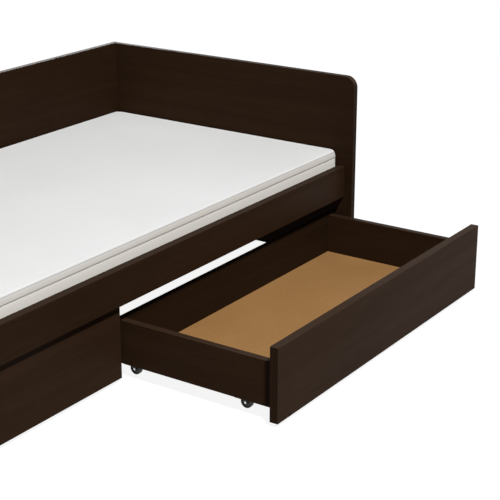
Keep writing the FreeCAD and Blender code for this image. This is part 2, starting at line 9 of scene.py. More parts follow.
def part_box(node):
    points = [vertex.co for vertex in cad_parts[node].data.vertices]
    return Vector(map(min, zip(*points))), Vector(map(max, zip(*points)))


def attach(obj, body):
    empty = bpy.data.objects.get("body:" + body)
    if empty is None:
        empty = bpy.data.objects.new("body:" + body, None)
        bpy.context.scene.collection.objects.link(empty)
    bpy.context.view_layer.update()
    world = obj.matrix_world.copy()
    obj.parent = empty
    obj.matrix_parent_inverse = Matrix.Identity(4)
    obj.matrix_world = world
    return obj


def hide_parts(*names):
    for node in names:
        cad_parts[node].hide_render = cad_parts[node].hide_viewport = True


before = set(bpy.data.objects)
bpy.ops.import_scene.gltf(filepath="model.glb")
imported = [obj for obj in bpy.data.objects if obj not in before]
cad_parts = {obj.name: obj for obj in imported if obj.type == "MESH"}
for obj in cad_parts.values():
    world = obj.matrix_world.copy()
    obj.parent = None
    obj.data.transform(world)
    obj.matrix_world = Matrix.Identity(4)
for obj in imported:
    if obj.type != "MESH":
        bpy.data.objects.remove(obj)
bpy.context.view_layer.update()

bl_info = {
    "name": "Storage daybed finisher",
    "version": (1, 0, 0),
    "blender": (4, 5, 0),
    "location": "View3D > Sidebar > Daybed",
    "description": "Gives a daybed's boards, drawers, castors and mattress their finish",
    "category": "Object",
}

MM = 0.001


# ------------------------------------------------------------------ sizes and colours
def tone(label, value, about):
    return FloatVectorProperty(name=label, description=about, default=value, size=3,
                               subtype="COLOR", min=0.0, max=1.0)


def length(label, value, about):
    return FloatProperty(name=label, description=about, default=value, min=0.0,
                         subtype="DISTANCE", unit="LENGTH")


def share(label, value, about):
    return FloatProperty(name=label, description=about, default=value, min=0.0, max=1.0,
                         subtype="FACTOR")


class BoardFinish(bpy.types.PropertyGroup):
    dark: tone("Dark grain", (0.0300, 0.0145, 0.0070), "Darkest streaks of the wenge laminate")
    light: tone("Light grain", (0.0480, 0.0255, 0.0135), "Lightest streaks of the laminate")
    band: tone("Edge band", (0.0265, 0.0150, 0.0090), "Edging strip glued to the boards' edges")
    # Paler colour laid on every rounded arris: wear and a painted highlight.
    worn_and_lit: tone("Rubbed, highlit arris", (0.0750, 0.0480, 0.0300), "Where hands and feet rub the arrises")
    grain: FloatProperty(name="Grain fineness", description="Streaks per metre across the grain",
                         default=420.0, min=1.0)
    roughness: share("Roughness", 0.42, "How matt the laminate is")
    gloss: share("Gloss", 0.02, "Reflection level of the laminate")
    tan_light: tone("Hardboard light", (0.330, 0.174, 0.064), "Pale fibres of the hardboard")
    tan_dark: tone("Hardboard dark", (0.230, 0.116, 0.039), "Dark fibres of the hardboard")
    pine_light: tone("Pine light", (0.640, 0.440, 0.240), "Early wood of the slats")
    pine_dark: tone("Pine dark", (0.450, 0.260, 0.110), "Late wood of the slats")


class FittingFinish(bpy.types.PropertyGroup):
    wheel: tone("Wheel", (0.055, 0.055, 0.053), "Moulded castor wheels")
    # Paler grey laid on the wheels' arrises and in soft clouds: wear and a painted highlight on the
    # arrises, uneven tone in the clouds.
    wheel_rubbed_and_lit: tone("Rubbed wheel", (0.120, 0.120, 0.115), "Tread where it has rolled")
    housing: tone("Bracket", (0.016, 0.016, 0.017), "Castor brackets and glides")
    steel: tone("Zinc plate", (0.700, 0.690, 0.660), "Screws, bolts, cams and axles")
    tape: tone("Tape", (0.660, 0.640, 0.580), "Woven tapes under the slats")


class MattressShape(bpy.types.PropertyGroup):
    bulge: length("Bulge", 2.0 * MM, "Room that the filled cover has past its nominal sides")
    crown: length("Crown", 2.4 * MM, "Room that it has above its nominal thickness")
    plan_radius: length("Top corner radius", 24 * MM, "Rounding of the top panel's corners")
    side_radius: length("Side corner radius", 9 * MM, "Rounding of the corners below the seam")
    edge_drop: length("Edge drop", 7.2 * MM, "Top to the tuck where the top panel joins the band")
    edge_tuck: length("Edge tuck", 0.6 * MM, "How deep that tuck is")
    seam_drop: length("Seam drop", 23.5 * MM, "Top of the mattress to its side seam")
    seam_width: length("Seam width", 2.6 * MM, "Height of the stitched seam")
    seam_depth: length("Seam depth", 2.0 * MM, "How far the stitching pulls the cover in")
    band_slope: length("Band slope", 0.3 * MM, "How far the side band leans in at its top")
    border_fall: length("Border fall", 45.0 * MM, "How slowly the border comes back out below the seam")
    foot_round: length("Lower rounding", 9 * MM, "Rounding at the bottom edge")
    swell: length("Swell", 0.8 * MM, "How far the filling may push the cover out")
    ripple: length("Ripple", 0.45 * MM, "Unevenness of the cover")
    spacing: length("Mesh spacing", 16 * MM, "Distance between points along the mattress")
    fine_spacing: length("Fine spacing", 4 * MM, "Distance between points round its corners")
    stitch: length("Stitch", 6 * MM, "Length of one stitch and its gap")
    thread_radius: length("Thread radius", 0.45 * MM, "Thickness of the sewing thread")
    cover: tone("Cover", (0.715, 0.715, 0.710), "Knitted cover of the top panel")
    # Paler and warmer than the top panel's cover: painted light, lifting the side out of its shade and
    # tinting it with warm light thrown back by the wood.
    border: tone("Border", (0.850, 0.815, 0.755), "Knitted cover of the side border")
    thread: tone("Thread", (0.600, 0.600, 0.580), "Sewing thread in the seam")


class StageSetup(bpy.types.PropertyGroup):
    eye: FloatVectorProperty(name="Camera place", description="Where the camera stands",
                             default=(-2.3139, -2.3444, 1.4207), size=3,
                             subtype="TRANSLATION", unit="LENGTH")
    heading: FloatProperty(name="Heading", description="Turn of the camera from looking along +Y",
                           default=math.radians(55.77), subtype="ANGLE", unit="ROTATION")
    tilt: FloatProperty(name="Tilt", description="How far the camera looks down",
                        default=math.radians(19.90), subtype="ANGLE", unit="ROTATION")
    lens: FloatProperty(name="Lens", description="Focal length on a 36 mm sensor",
                        default=99.96, min=1.0, subtype="DISTANCE_CAMERA")
    floor: tone("Floor", (0.120, 0.120, 0.120), "How much light the floor throws back up")
    floor_glow: share("Floor glow", 0.90, "How pale the floor looks by itself")
    sky: FloatProperty(name="Sky light", description="Strength of the even light all round",
                       default=0.075, min=0.0)
    key: FloatProperty(name="Key light", description="Power of the high front light",
                       default=1900.0, min=0.0, unit="POWER")
    key_from: FloatVectorProperty(name="Key light place", description="Where the key light hangs",
                                  default=(-3.40, -5.93, 10.80), size=3,
                                  subtype="TRANSLATION", unit="LENGTH")
    back: FloatProperty(name="Back light", description="Power of the broad light behind the bed",
                        default=130.0, min=0.0, unit="POWER")
    back_from: FloatVectorProperty(name="Back light place", description="Where it stands",
                                   default=(4.2, 4.4, 1.9), size=3,
                                   subtype="TRANSLATION", unit="LENGTH")


# ------------------------------------------------------------------ node helpers
def add(tree, kind, sockets=None, **settings):
    """A shader node whose sockets are set to values, or linked where the value is a socket."""
    made = tree.nodes.new(kind)
    for name, value in settings.items():
        setattr(made, name, value)
    for key, value in (sockets or {}).items():
        if isinstance(value, bpy.types.NodeSocket):
            tree.links.new(value, made.inputs[key])
        else:
            made.inputs[key].default_value = value
    return made


def math_node(tree, operation, first, second=0.0, clamp=False):
    made = add(tree, "ShaderNodeMath", {0: first, 1: second}, operation=operation)
    made.use_clamp = clamp
    return made.outputs[0]


def blend_tones(tree, factor, first, second):
    """Mixes two colours; a colour is a tuple of three or a socket."""
    def colour(value):
        return value if isinstance(value, bpy.types.NodeSocket) else (*value, 1.0)
    made = add(tree, "ShaderNodeMix", {0: factor, 6: colour(first), 7: colour(second)},
               data_type="RGBA")
    return made.outputs[2]


def spread(tree, value, low, high, to_low=0.0, to_high=1.0):
    """Stretches the span from low to high to the span from to_low to to_high, held within it."""
    made = add(tree, "ShaderNodeMapRange", {"Value": value, "From Min": low, "From Max": high,
                                            "To Min": to_low, "To Max": to_high})
    return made.outputs["Result"]


def effect(name, inputs, outputs, fill):
    """A shared node group, built once. fill(tree, source, sink) makes its inside."""
    tree = bpy.data.node_groups.get(name)
    if tree is None:
        tree = bpy.data.node_groups.new(name, "ShaderNodeTree")
        for label, kind, value in inputs:
            socket = tree.interface.new_socket(name=label, in_out="INPUT", socket_type=kind)
            if value is not None:
                socket.default_value = value
        for label in outputs:
            tree.interface.new_socket(name=label, in_out="OUTPUT", socket_type="NodeSocketFloat")
        fill(tree, tree.nodes.new("NodeGroupInput"), tree.nodes.new("NodeGroupOutput"))
    return tree


def use(tree, group, sockets):
    """Places a shared effect in a material with the values given here."""
    return add(tree, "ShaderNodeGroup", sockets, node_tree=group)


# ------------------------------------------------------------------ shared effects
def straight_grain():
    """Fine streaks with short dark pores. The vector comes in stretched along the grain."""
    def fill(tree, source, sink):
        vector = source.outputs["Vector"]
        fine = source.outputs["Fineness"]
        streaks = add(tree, "ShaderNodeTexNoise", {"Vector": vector, "Scale": fine,
                                                   "Detail": 7.0, "Roughness": 0.62})
        broad = add(tree, "ShaderNodeTexNoise",
                    {"Vector": vector, "Scale": math_node(tree, "MULTIPLY", fine, 0.09),
                     "Detail": 3.0, "Roughness": 0.5})
        pores = add(tree, "ShaderNodeTexNoise",
                    {"Vector": vector, "Scale": math_node(tree, "MULTIPLY", fine, 2.3),
                     "Detail": 2.0, "Roughness": 0.5})
        pore = spread(tree, pores.outputs["Fac"], 0.60, 0.70)
        streak = spread(tree, streaks.outputs["Fac"], 0.33, 0.67)
        wide = spread(tree, broad.outputs["Fac"], 0.35, 0.65)
        mixed = math_node(tree, "ADD", math_node(tree, "MULTIPLY", streak, 0.6),
                          math_node(tree, "MULTIPLY", wide, 0.4))
        dented = math_node(tree, "SUBTRACT", mixed, math_node(tree, "MULTIPLY", pore, 0.5),
                           clamp=True)
        tree.links.new(dented, sink.inputs["Tone"])
        tree.links.new(math_node(tree, "SUBTRACT", streak, pore), sink.inputs["Height"])
    return effect("Straight grain", [("Vector", "NodeSocketVector", None),
                                     ("Fineness", "NodeSocketFloat", 400.0)],
                  ["Tone", "Height"], fill)


def arris_wear_and_highlight():
    """Finds the rounded arrises, where a surface faces between two of the main directions, in patches:
    the mask for wear and a painted highlight.
    """
    def fill(tree, source, sink):
        normal = add(tree, "ShaderNodeNewGeometry").outputs["Normal"]
        parts = add(tree, "ShaderNodeSeparateXYZ", {0: normal})
        sizes = [math_node(tree, "ABSOLUTE", parts.outputs[i]) for i in range(3)]
        largest = math_node(tree, "MAXIMUM", math_node(tree, "MAXIMUM", sizes[0], sizes[1]),
                            sizes[2])
        turned = math_node(tree, "SUBTRACT", 1.0, largest)
        rounded = spread(tree, turned, 0.01, 0.16)
        patchy = add(tree, "ShaderNodeTexNoise", {"Vector": source.outputs["Vector"],
                                                  "Scale": source.outputs["Patches"],
                                                  "Detail": 4.0})
        worn_and_lit = spread(tree, patchy.outputs["Fac"], 0.35, 0.65, 0.45, 1.0)
        tree.links.new(math_node(tree, "MULTIPLY", rounded, worn_and_lit), sink.inputs["Mask"])
    return effect("Rubbed and highlit arris", [("Vector", "NodeSocketVector", None),
                                 ("Patches", "NodeSocketFloat", 18.0)], ["Mask"], fill)


def slow_drift():
    """A broad, soft change over the surface, for colour and gloss that are never quite even."""
    def fill(tree, source, sink):
        cloud = add(tree, "ShaderNodeTexNoise", {"Vector": source.outputs["Vector"],
                                                 "Scale": source.outputs["Scale"],
                                                 "Detail": 3.0, "Roughness": 0.55})
        tree.links.new(spread(tree, cloud.outputs["Fac"], 0.3, 0.7), sink.inputs["Tone"])
    return effect("Slow drift", [("Vector", "NodeSocketVector", None),
                                 ("Scale", "NodeSocketFloat", 3.0)], ["Tone"], fill)


def fine_weave():
    """Rows of small loops that cross: a knitted cover close up, a woven tape when coarser."""
    def fill(tree, source, sink):
        rows = []
        for direction in ("X", "Y", "Z"):
            wave = add(tree, "ShaderNodeTexWave", {"Vector": source.outputs["Vector"],
                                                   "Scale": source.outputs["Threads"],
                                                   "Distortion": 1.2, "Detail": 1.0,
                                                   "Detail Scale": 1.5},
                       wave_type="BANDS", bands_direction=direction)
            rows.append(wave.outputs["Fac"])
        crossed = math_node(tree, "MAXIMUM", math_node(tree, "MULTIPLY", rows[0], rows[1]),
                            math_node(tree, "MULTIPLY", rows[1], rows[2]))
        fuzz = add(tree, "ShaderNodeTexNoise", {"Vector": source.outputs["Vector"],
                                                "Scale": math_node(tree, "MULTIPLY",
                                                                   source.outputs["Threads"], 5.0),
                                                "Detail": 2.0})
        height = math_node(tree, "ADD", crossed, math_node(tree, "MULTIPLY",
                                                           fuzz.outputs["Fac"], 0.35))
        tree.links.new(height, sink.inputs["Height"])
        tree.links.new(spread(tree, height, 0.1, 1.1), sink.inputs["Tone"])
    return effect("Fine weave", [("Vector", "NodeSocketVector", None),
                                 ("Threads", "NodeSocketFloat", 180.0)], ["Tone", "Height"], fill)


def flecks():
    """Short fibres and specks pressed at random."""
    def fill(tree, source, sink):
        fibre = add(tree, "ShaderNodeTexNoise", {"Vector": source.outputs["Vector"],
                                                 "Scale": source.outputs["Density"],
                                                 "Detail": 6.0, "Roughness": 0.7,
                                                 "Distortion": 0.6})
        speck = add(tree, "ShaderNodeTexVoronoi", {"Vector": source.outputs["Vector"],
                                                   "Scale": math_node(tree, "MULTIPLY",
                                                                      source.outputs["Density"],
                                                                      0.8)})
        dots = spread(tree, speck.outputs["Distance"], 0.05, 0.20, 1.0, 0.0)
        paleness = math_node(tree, "SUBTRACT", spread(tree, fibre.outputs["Fac"], 0.32, 0.68),
                             math_node(tree, "MULTIPLY", dots, 0.25), clamp=True)
        tree.links.new(paleness, sink.inputs["Tone"])
    return effect("Flecks", [("Vector", "NodeSocketVector", None),
                             ("Density", "NodeSocketFloat", 300.0)], ["Tone"], fill)


# ------------------------------------------------------------------ materials
def new_material(name):
    """A new material with its tree, its shader and the place on the object, in metres."""
    material = bpy.data.materials.new(name)
    material.use_nodes = True
    tree = material.node_tree
    shader = next(n for n in tree.nodes if n.type == "BSDF_PRINCIPLED")
    place = add(tree, "ShaderNodeTexCoord").outputs["Object"]
    return material, tree, shader, place


def stretched(tree, place, scale, shift=(0.0, 0.0, 0.0)):
    made = add(tree, "ShaderNodeMapping", {"Vector": place, "Scale": scale, "Location": shift})
    return made.outputs[0]


def bump(tree, shader, height, strength, distance):
    """Raises the surface, where a height of one stands this distance proud."""
    made = add(tree, "ShaderNodeBump", {"Height": height, "Strength": strength,
                                        "Distance": distance})
    tree.links.new(made.outputs["Normal"], shader.inputs["Normal"])


def along_grain(axis, stretch):
    """The scale that draws a pattern out along one axis."""
    return tuple(stretch if i == "xyz".index(axis) else 1.0 for i in range(3))


def laminate(name, along, thin, place_in_sheet, paleness):
    """Dark wenge laminate: grain runs along one axis, edging where the board is thin."""
    look = bpy.context.scene.daybed_boards
    # paleness darkens every colour of the board: painted shade, deepest on the boards that sit in
    # shade.
    dark, light, band = (tuple(paleness * c for c in colour)
                         for colour in (look.dark, look.light, look.band))
    material, tree, shader, place = new_material(name)
    vector = stretched(tree, place, along_grain(along, 0.035), place_in_sheet)
    grain = use(tree, straight_grain(), {"Vector": vector, "Fineness": look.grain})
    drift = use(tree, slow_drift(), {"Vector": place, "Scale": 2.2})
    wear_and_highlight = use(tree, arris_wear_and_highlight(), {"Vector": place, "Patches": 16.0})
    amount = math_node(tree, "ADD", math_node(tree, "MULTIPLY", grain.outputs["Tone"], 0.8),
                       math_node(tree, "MULTIPLY", drift.outputs["Tone"], 0.2))
    face = blend_tones(tree, amount, dark, light)
    normal = add(tree, "ShaderNodeNewGeometry").outputs["Normal"]
    facing = add(tree, "ShaderNodeSeparateXYZ", {0: normal}).outputs["xyz".index(thin)]
    edge = math_node(tree, "LESS_THAN", math_node(tree, "ABSOLUTE", facing), 0.5)
    banded = blend_tones(tree, math_node(tree, "MULTIPLY", edge, 0.55), face, band)
    # Rounded arrises turn paler: wear and a painted highlight.
    worn_and_lit = blend_tones(tree, math_node(tree, "MULTIPLY", wear_and_highlight.outputs["Mask"], 0.45), banded,
                       look.worn_and_lit)
    tree.links.new(worn_and_lit, shader.inputs["Base Color"])
    tree.links.new(spread(tree, grain.outputs["Tone"], 0.0, 1.0, look.roughness + 0.10,
                          look.roughness - 0.04), shader.inputs["Roughness"])
    shader.inputs["Specular IOR Level"].default_value = look.gloss
    bump(tree, shader, grain.outputs["Height"], 0.25, 0.12 * MM)
    return material


def pressed_hardboard(name):
    """Tan hardboard, its fibres and specks pressed flat."""
    look = bpy.context.scene.daybed_boards
    material, tree, shader, place = new_material(name)
    fibres = use(tree, flecks(), {"Vector": place, "Density": 260.0})
    drift = use(tree, slow_drift(), {"Vector": place, "Scale": 5.0})
    amount = math_node(tree, "ADD", math_node(tree, "MULTIPLY", fibres.outputs["Tone"], 0.6),
                       math_node(tree, "MULTIPLY", drift.outputs["Tone"], 0.4))
    tree.links.new(blend_tones(tree, amount, look.tan_dark, look.tan_light),
                   shader.inputs["Base Color"])
    tree.links.new(spread(tree, fibres.outputs["Tone"], 0.0, 1.0, 0.62, 0.46),
                   shader.inputs["Roughness"])
    shader.inputs["Specular IOR Level"].default_value = 0.2
    bump(tree, shader, fibres.outputs["Tone"], 0.2, 0.15 * MM)
    return material


def planed_pine(name, along, place_in_sheet):
    """Pale planed pine, its arrises a little paler, for wear and a painted highlight."""
    look = bpy.context.scene.daybed_boards
    material, tree, shader, place = new_material(name)
    vector = stretched(tree, place, along_grain(along, 0.06), place_in_sheet)
    grain = use(tree, straight_grain(), {"Vector": vector, "Fineness": 150.0})
    drift = use(tree, slow_drift(), {"Vector": vector, "Scale": 18.0})
    wear_and_highlight = use(tree, arris_wear_and_highlight(), {"Vector": place, "Patches": 25.0})
    amount = math_node(tree, "ADD", math_node(tree, "MULTIPLY", grain.outputs["Tone"], 0.45),
                       math_node(tree, "MULTIPLY", drift.outputs["Tone"], 0.55))
    wood = blend_tones(tree, amount, look.pine_dark, look.pine_light)
    # Paler arrises: wear and a painted highlight.
    rubbed_and_lit = blend_tones(tree, math_node(tree, "MULTIPLY", wear_and_highlight.outputs["Mask"], 0.4), wood,
                         look.pine_light)
    tree.links.new(rubbed_and_lit, shader.inputs["Base Color"])
    tree.links.new(spread(tree, grain.outputs["Tone"], 0.0, 1.0, 0.66, 0.52),
                   shader.inputs["Roughness"])
    bump(tree, shader, grain.outputs["Height"], 0.3, 0.2 * MM)
    return material


def moulded_plastic(name, plain, rubbed_and_lit, roughness):
    """Grained moulded plastic, a little cloudy, and paler on its arrises for wear and a painted
    highlight.
    """
    material, tree, shader, place = new_material(name)
    skin = use(tree, flecks(), {"Vector": place, "Density": 1400.0})
    wear_and_highlight = use(tree, arris_wear_and_highlight(), {"Vector": place, "Patches": 120.0})
    drift = use(tree, slow_drift(), {"Vector": place, "Scale": 60.0})
    cloudy = blend_tones(tree, math_node(tree, "MULTIPLY", drift.outputs["Tone"], 0.2), plain,
                         rubbed_and_lit)
    tree.links.new(blend_tones(tree, math_node(tree, "MULTIPLY", wear_and_highlight.outputs["Mask"], 0.5),
                               cloudy, rubbed_and_lit), shader.inputs["Base Color"])
    tree.links.new(spread(tree, skin.outputs["Tone"], 0.0, 1.0, roughness + 0.08,
                          roughness - 0.06), shader.inputs["Roughness"])
    shader.inputs["Specular IOR Level"].default_value = 0.4
    bump(tree, shader, skin.outputs["Tone"], 0.3, 0.05 * MM)
    return material


def zinc_steel(name):
    """Zinc plated steel, brushed and a little cloudy."""
    look = bpy.context.scene.daybed_fittings
    material, tree, shader, place = new_material(name)
    brushed = use(tree, flecks(), {"Vector": stretched(tree, place, (0.2, 1.0, 1.0)),
                                   "Density": 1800.0})
    drift = use(tree, slow_drift(), {"Vector": place, "Scale": 90.0})
    dull = tuple(0.72 * c for c in look.steel)
    tree.links.new(blend_tones(tree, drift.outputs["Tone"], dull, look.steel),
                   shader.inputs["Base Color"])
    tree.links.new(spread(tree, brushed.outputs["Tone"], 0.0, 1.0, 0.40, 0.24),
                   shader.inputs["Roughness"])
    shader.inputs["Metallic"].default_value = 1.0
    bump(tree, shader, brushed.outputs["Tone"], 0.15, 0.03 * MM)
    return material


def knitted_cloth(name, colour, threads, depth):
    """Knitted or woven cloth; threads is how fine it is and depth how strongly it is raised."""
    material, tree, shader, place = new_material(name)
    weave = use(tree, fine_weave(), {"Vector": place, "Threads": threads})
    drift = use(tree, slow_drift(), {"Vector": place, "Scale": 4.0})
    shade = tuple(0.93 * c for c in colour)
    amount = math_node(tree, "ADD", math_node(tree, "MULTIPLY", weave.outputs["Tone"], 0.5),
                       math_node(tree, "MULTIPLY", drift.outputs["Tone"], 0.5))
    tree.links.new(blend_tones(tree, amount, shade, colour), shader.inputs["Base Color"])
    tree.links.new(spread(tree, weave.outputs["Tone"], 0.0, 1.0, 0.95, 0.82),
                   shader.inputs["Roughness"])
    shader.inputs["Specular IOR Level"].default_value = 0.2
    shader.inputs["Sheen Weight"].default_value = 0.15
    shader.inputs["Sheen Roughness"].default_value = 0.6
    bump(tree, shader, weave.outputs["Height"], depth, 0.3 * MM)
    return material


def dress(name, material):
    """Gives a CAD node its material."""
    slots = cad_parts[name].material_slots
    if not slots:
        raise RuntimeError(f"{name} has no material slot")
    for slot in slots:
        slot.material = material


# ------------------------------------------------------------------ boards and fittings
DRAWERS = ("right_drawer", "left_drawer")
# Each laminated board: the axis its grain follows, the axis it is thin along, and how pale it is drawn,
# where one is the finish's own colours and less is darker: painted shade, deepest on the boards that
# sit in shade, the drawer backs, the back panel and the drawers' right sides.
BOARDS = {"end_panel_right": ("y", "x", 0.64), "end_panel_left": ("y", "x", 0.64),
          "back_panel": ("x", "y", 0.56), "front_rail": ("x", "y", 0.72),
          "centre_panel": ("y", "x", 0.80)}
for drawer_name in DRAWERS:
    BOARDS[drawer_name + "_front"] = ("x", "y", 0.89)
    BOARDS[drawer_name + "_back"] = ("x", "y", 0.50)
    BOARDS[drawer_name + "_side_left"] = ("y", "x", 0.92)
    BOARDS[drawer_name + "_side_right"] = ("y", "x", 0.70)


class DAYBED_OT_boards(bpy.types.Operator):
    """Gives every laminated board its own cut of the wenge sheet, darkened by its painted shade"""
    bl_idname = "daybed.boards"
    bl_label = "Laminate the boards"

    def execute(self, context):
        for i, (name, (along, thin, paleness)) in enumerate(BOARDS.items()):
            cut = (0.31 * i, 0.17 * i, 0.23 * i)
            dress(name, laminate("wenge_" + name, along, thin, cut, paleness))
        return {"FINISHED"}


class DAYBED_OT_bottoms(bpy.types.Operator):
    """Gives the drawer bottoms their pressed hardboard"""
    bl_idname = "daybed.bottoms"
    bl_label = "Finish the drawer bottoms"

    def execute(self, context):
        board = pressed_hardboard("hardboard")
        for name in DRAWERS:
            dress(name + "_bottom", board)
        return {"FINISHED"}


class DAYBED_OT_slats(bpy.types.Operator):
    """Gives slats and bearers their planed pine, and the tapes their weave"""
    bl_idname = "daybed.slats"
    bl_label = "Finish the slatted base"

    def execute(self, context):
        slats = sorted(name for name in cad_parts
                       if name.startswith("slat_") and name != "slat_tapes")
        for i, name in enumerate(slats):
            dress(name, planed_pine("pine_" + name, "y", (0.13 * i, 0.0, 0.07 * i)))
        for i, name in enumerate(("bearer_front", "bearer_back")):
            dress(name, planed_pine("pine_" + name, "x", (0.0, 0.4 + i, 0.0)))
        look = context.scene.daybed_fittings
        dress("slat_tapes", knitted_cloth("woven_tape", look.tape, 260.0, 0.6))
        return {"FINISHED"}


class DAYBED_OT_fittings(bpy.types.Operator):
    """Finishes castors, glides, screws, cams and nails"""
    bl_idname = "daybed.fittings"
    bl_label = "Finish the fittings"

    def execute(self, context):
        look = context.scene.daybed_fittings
        wheel = moulded_plastic("wheel_plastic", look.wheel, look.wheel_rubbed_and_lit, 0.45)
        # The brackets' arrises take the wheel grey: wear and a painted highlight.
        bracket = moulded_plastic("bracket_plastic", look.housing, look.wheel, 0.5)
        steel = zinc_steel("zinc_plate")
        plastic = ["panel_glides", "centre_foot"]
        metal = ["frame_cam_locks", "frame_cam_bolts", "frame_screws"]
        for name in DRAWERS:
            plastic.append(name + "_castor_housings")
            metal += [f"{name}_{kind}" for kind in ("castor_axles", "castor_screws", "cam_locks",
                                                    "cam_bolts", "back_screws", "bottom_nails")]
        for name in plastic:
            dress(name, bracket)
        for name in metal:
            dress(name, steel)
        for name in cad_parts:
            if "_wheel_" in name:
                dress(name, wheel)
        return {"FINISHED"}


# ------------------------------------------------------------------ mattress
def stops(span, shape):
    """Distances along one side of the mattress, closer together near its corners."""
    fine = 1 + math.ceil(shape.plan_radius / shape.fine_spacing)
    end = fine * shape.fine_spacing
    middle = round((span - 2 * end) / shape.spacing)
    near = [i * shape.fine_spacing for i in range(fine)]
    between = [end + (span - 2 * end) * i / middle for i in range(middle + 1)]
    return near + between + [span - distance for distance in reversed(near)]


def round_in(a, b, radius):
    """Moves a point, a and b away from a corner's two sides, on to rings with round corners."""
    ring = min(a, b)
    bend = radius - ring
    way = abs(a - b)
    if bend <= 0.0 or way >= bend:
        return a, b
    angle = math.pi / 4 * (1 - way / bend)
    near, far = ring + bend * (1 - math.cos(angle)), ring + bend * (1 - math.sin(angle))
    return (near, far) if a <= b else (far, near)


def plan_point(across, deep, low, high, inset, radius):
    """A point of the mattress's grid in plan, across and deep being shares of its sides."""
    sides = (high.x - low.x - 2 * inset, high.y - low.y - 2 * inset)
    place = [across * sides[0], deep * sides[1]]
    turned = [place[i] > sides[i] / 2 for i in (0, 1)]
    away = [sides[i] - place[i] if turned[i] else place[i] for i in (0, 1)]
    away = round_in(*away, radius)
    place = [sides[i] - away[i] if turned[i] else away[i] for i in (0, 1)]
    return low.x + inset + place[0], low.y + inset + place[1]


def mattress_profile(shape, height):
    """Inset and height of each ring from the bottom edge up the side and over the top edge."""
    foot = shape.foot_round
    seam = height - shape.seam_drop
    half = shape.seam_width / 2
    slack = 1.0 * MM                     # left free at the sides, for the filling to push into
    profile = [(foot, 0.0), (foot * 0.45, foot * 0.12), (foot * 0.15 + slack, foot * 0.45),
               (slack, foot)]
    # The border, from the foot to just below the seam.
    side_steps = 7
    for i in range(1, side_steps + 1):
        profile.append((slack, foot + (seam - 2.6 * half - foot) * i / side_steps))
    # Close rings at the seam, which is sewn in later.
    profile += [(slack, seam + step * half) for step in (-1.8, -1.1, -0.6, 0.0, 0.6, 1.1, 1.8)]
    # The band above the seam, up to the tuck.
    tuck = height - shape.edge_drop
    band_low, band_high = seam + 2.8 * half, tuck - 1.6 * MM
    edge = slack + shape.band_slope
    band_steps = 4
    for i in range(band_steps + 1):
        rise = i / band_steps
        profile.append((slack + shape.band_slope * rise,
                        band_low + (band_high - band_low) * rise))
    # Close rings at the tuck, and then the rolled top edge.
    roll_start = tuck + 2.2 * MM
    profile += [(edge, level) for level in (tuck - 0.8 * MM, tuck, tuck + 0.8 * MM, roll_start)]
    roll = height - roll_start
    roll_steps = 5
    for k in range(1, roll_steps):
        angle = math.pi / 2 * k / roll_steps
        profile.append((edge + roll * (1 - math.cos(angle)), roll_start + roll * math.sin(angle)))
    profile.append((edge + roll * 1.6, height))
    return profile


def mattress_mesh(shape, low, high):
    """A closed cover: a grid underneath, rings up the side, and a grid on top.

    Gives back the cover and the level of its seam."""
    spans = (high.x - low.x, high.y - low.y)
    across = [x / spans[0] for x in stops(spans[0], shape)]
    deep = [y / spans[1] for y in stops(spans[1], shape)]
    last_x, last_y = len(across) - 1, len(deep) - 1
    border = [(i, 0) for i in range(last_x)] + [(last_x, j) for j in range(last_y)]
    border += [(i, last_y) for i in range(last_x, 0, -1)] + [(0, j) for j in range(last_y, 0, -1)]
    # The top is left a little low, because the filling pushes it up.
    height = high.z - low.z - 0.5 * shape.swell
    profile = mattress_profile(shape, height)
    mesh = bmesh.new()

    def point(i, j, inset, z):
        above_seam = (z - low.z - height + shape.seam_drop) / shape.seam_drop
        rounder = min(1.0, max(0.0, above_seam)) ** 2
        radius = shape.side_radius + (shape.plan_radius - shape.side_radius) * rounder
        x, y = plan_point(across[i], deep[j], low, high, inset, radius - inset)
        return mesh.verts.new((x, y, z))

    rings = [[point(i, j, inset, low.z + z) for i, j in border] for inset, z in profile]
    for lower, upper in zip(rings, rings[1:]):
        for k in range(len(border)):
            n = (k + 1) % len(border)
            mesh.faces.new((lower[k], lower[n], upper[n], upper[k]))
    for ring, (inset, _), z, flip in ((rings[0], profile[0], low.z, True),
                                      (rings[-1], profile[-1], low.z + height, False)):
        grid = dict(zip(border, ring))
        for i in range(1, last_x):
            for j in range(1, last_y):
                grid[i, j] = point(i, j, inset, z)
        for i in range(last_x):
            for j in range(last_y):
                corners = [grid[i, j], grid[i + 1, j], grid[i + 1, j + 1], grid[i, j + 1]]
                mesh.faces.new(list(reversed(corners)) if flip else corners)
    return mesh, low.z + height - shape.seam_drop


def swell_cover(piece, shape, low, seam_level):
    """Lets the filling push the cover out, as cloth held at its seam and its bottom edge."""
    points = piece.data.vertices
    start = [v.co.copy() for v in points]
    held = piece.vertex_groups.new(name="sewn")
    held.add([v.index for v in points if v.co.z < low.z + 0.5 * shape.foot_round or
              abs(v.co.z - seam_level) < 0.35 * shape.seam_width], 1.0, "REPLACE")
    cloth = piece.modifiers.new("swell", "CLOTH")
    cloth.settings.quality = 4
    cloth.settings.mass = 0.4
    cloth.settings.use_pressure = True
    cloth.settings.uniform_pressure_force = 3.0
    cloth.settings.vertex_group_mass = held.name
    cloth.settings.effector_weights.gravity = 0.0
    cloth.settings.tension_stiffness = 40.0
    cloth.settings.compression_stiffness = 40.0
    cloth.settings.bending_stiffness = 5.0
    cloth.collision_settings.use_collision = False
    scene = bpy.context.scene
    last_frame = 14
    cloth.point_cache.frame_end = last_frame
    for frame_number in range(1, last_frame + 1):
        scene.frame_set(frame_number)
    swollen = piece.evaluated_get(bpy.context.evaluated_depsgraph_get())
    moved = [v.co.copy() for v in swollen.to_mesh().vertices]
    swollen.to_mesh_clear()
    piece.modifiers.remove(cloth)
    scene.frame_set(1)
    for vertex, before, after in zip(points, start, moved):
        push = after - before
        if push.length > 0.0:
            # Far pushes are drawn in smoothly, so that the cover never swells past its limit.
            push *= shape.swell * math.tanh(push.length / shape.swell) / push.length
        vertex.co = before + push


